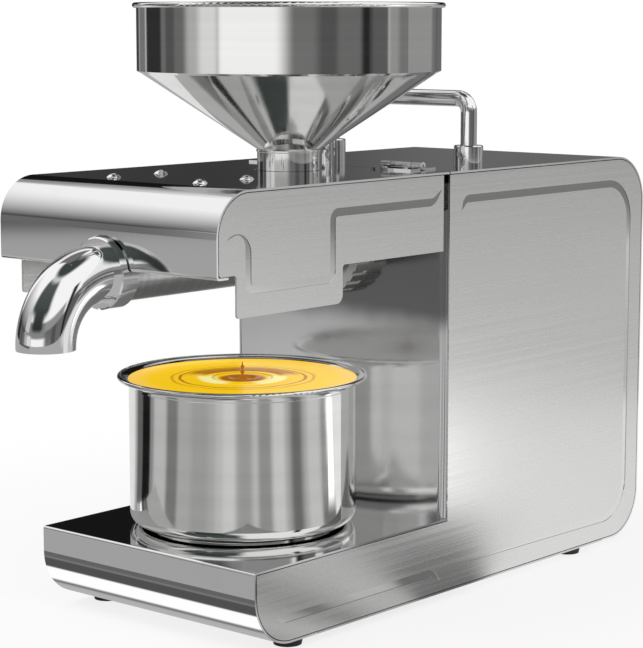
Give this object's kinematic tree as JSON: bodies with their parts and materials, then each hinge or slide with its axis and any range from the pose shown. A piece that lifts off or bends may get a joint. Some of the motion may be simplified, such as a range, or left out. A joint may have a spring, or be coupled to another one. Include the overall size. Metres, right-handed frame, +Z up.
{
  "type": "screw oil press",
  "caption": "Household screw oil press: stainless housing, overhanging flip-up cover, round hopper with a cone, cake elbow, heated chamber and a cup on the base.",
  "frame": {"origin": "centre of the footprint of the bounding box, on the surface that the feet stand on", "axes": "+Z up, +Y to the back of the housing, the cake elbow and the tray's front towards -Y, +X the panel without switches"},
  "size_m": [0.1849, 0.4712, 0.3569],
  "materials": {
    "satin_steel": "satin stainless sheet, brushed along its length",
    "polished_sheet": "mirror-polished stainless sheet",
    "polished_bowl": "mirror-polished spun stainless steel",
    "bright_chrome": "bright chrome plating",
    "machined_steel": "turned and milled steel",
    "gear_steel": "hardened gear steel, lightly oiled",
    "bearing_bronze": "sintered bronze",
    "black_rubber": "matte black rubber",
    "black_plastic": "matte black plastic",
    "switch_plastic": "glossy red rocker",
    "switch_plastic_black": "glossy black rocker",
    "cast_aluminium": "cast aluminium",
    "motor_paint": "black painted steel",
    "zinc_steel": "zinc plated steel",
    "ferrite": "dark ferrite",
    "core_iron": "stacked core sheet",
    "copper": "bare copper",
    "carbon": "pressed carbon",
    "fan_plastic": "dark moulded plastic",
    "board_green": "green circuit board",
    "board_parts": "dark moulded components"
  },
  "bodies": {
    "base": {"side_panel_right": "satin_steel", "side_panel_left": "satin_steel", "rear_wrap": "polished_sheet", "front_wall": "polished_sheet", "base_wrap": "polished_sheet", "bottom_plate": "satin_steel", "rubber_feet": "black_rubber", "foot_screws": "zinc_steel", "case_screws": "bright_chrome", "handle_bar": "bright_chrome", "handle_sockets": "bright_chrome", "handle_set_screws": "machined_steel", "hinge_rear_leaves": "bright_chrome", "hinge_pins": "machined_steel", "press_barrel": "machined_steel", "chamber_seat": "machined_steel", "chamber_nut": "bright_chrome", "heating_ring": "zinc_steel", "gearbox_case": "cast_aluminium", "gearbox_cover": "cast_aluminium", "gearbox_screws": "zinc_steel", "gearbox_stand": "motor_paint", "shaft_bearings": "bearing_bronze", "thrust_bearing": "machined_steel", "motor_case": "motor_paint", "motor_end_plate": "cast_aluminium", "field_magnets": "ferrite", "carbon_brushes": "carbon", "brush_holders": "copper", "motor_saddles": "motor_paint", "switch_frames": "black_plastic", "control_board": "board_green", "board_standoffs": "copper", "board_parts": "board_parts", "power_inlet": "black_plastic", "inlet_pins": "zinc_steel"},
    "cover": {"cover_shell": "polished_sheet", "cover_side_right": "satin_steel", "cover_side_left": "satin_steel", "heat_shield": "satin_steel", "cover_screws": "bright_chrome", "hinge_cover_leaves": "bright_chrome"},
    "hopper": {"hopper_bowl": "polished_bowl", "hopper_neck": "polished_bowl"},
    "cup": {"oil_cup": "polished_bowl"},
    "elbow": {"residue_elbow": "bright_chrome", "elbow_collar": "bright_chrome"},
    "screw": {"press_screw": "machined_steel", "output_shaft": "machined_steel", "output_gear": "gear_steel"},
    "slow_idler": {"slow_idler_shaft": "machined_steel", "slow_idler_gear": "gear_steel"},
    "fast_idler": {"fast_idler_shaft": "machined_steel", "fast_idler_gear": "gear_steel"},
    "rotor": {"rotor_shaft": "machined_steel", "rotor_core": "core_iron", "commutator": "copper", "motor_fan": "fan_plastic"},
    "heat_switch": {"heat_rocker": "switch_plastic"},
    "press_switch": {"press_rocker": "switch_plastic_black"}
  },
  "joints": [
    {"name": "hopper_lift", "type": "slide", "parent": "base", "child": "hopper", "axis": [0, 0, 1], "range_m": [0, 0.4]},
    {"name": "cover_hinge", "type": "hinge", "parent": "base", "child": "cover", "pos_m": [0, 0.0231, 0.261], "axis": [-1, 0, 0], "range_deg": [0, 90]},
    {"name": "cup_slide", "type": "slide", "parent": "base", "child": "cup", "axis": [0, -1, 0], "range_m": [0, 0.2]},
    {"name": "elbow_swivel", "type": "hinge", "parent": "base", "child": "elbow", "pos_m": [0, -0.1761, 0.21], "axis": [0, 1, 0], "range_deg": [-90, 90]},
    {"name": "screw_spin", "type": "hinge", "parent": "base", "child": "screw", "pos_m": [0, 0.0231, 0.21], "axis": [0, 1, 0], "continuous": true},
    {"name": "slow_idler_spin", "type": "hinge", "parent": "base", "child": "slow_idler", "pos_m": [0.015, 0.0231, 0.16335], "axis": [0, 1, 0], "continuous": true},
    {"name": "fast_idler_spin", "type": "hinge", "parent": "base", "child": "fast_idler", "pos_m": [-0.005, 0.0231, 0.13163], "axis": [0, 1, 0], "continuous": true},
    {"name": "rotor_spin", "type": "hinge", "parent": "base", "child": "rotor", "pos_m": [0, 0.0231, 0.09598], "axis": [0, 1, 0], "continuous": true},
    {"name": "heat_rock", "type": "hinge", "parent": "base", "child": "heat_switch", "pos_m": [-0.0825, 0.1231, 0.177], "axis": [0, -1, 0], "range_deg": [0, 18]},
    {"name": "press_rock", "type": "hinge", "parent": "base", "child": "press_switch", "pos_m": [-0.0825, 0.1611, 0.177], "axis": [0, -1, 0], "range_deg": [0, 18]}
  ],
  "couplings": [
    {"joint": "cover_hinge", "follows": "hopper_lift", "rad_per_m": 3.92},
    {"joint": "slow_idler_spin", "follows": "screw_spin", "ratio": -3.6667},
    {"joint": "fast_idler_spin", "follows": "screw_spin", "ratio": 14.667},
    {"joint": "rotor_spin", "follows": "screw_spin", "ratio": -73.333}
  ]
}
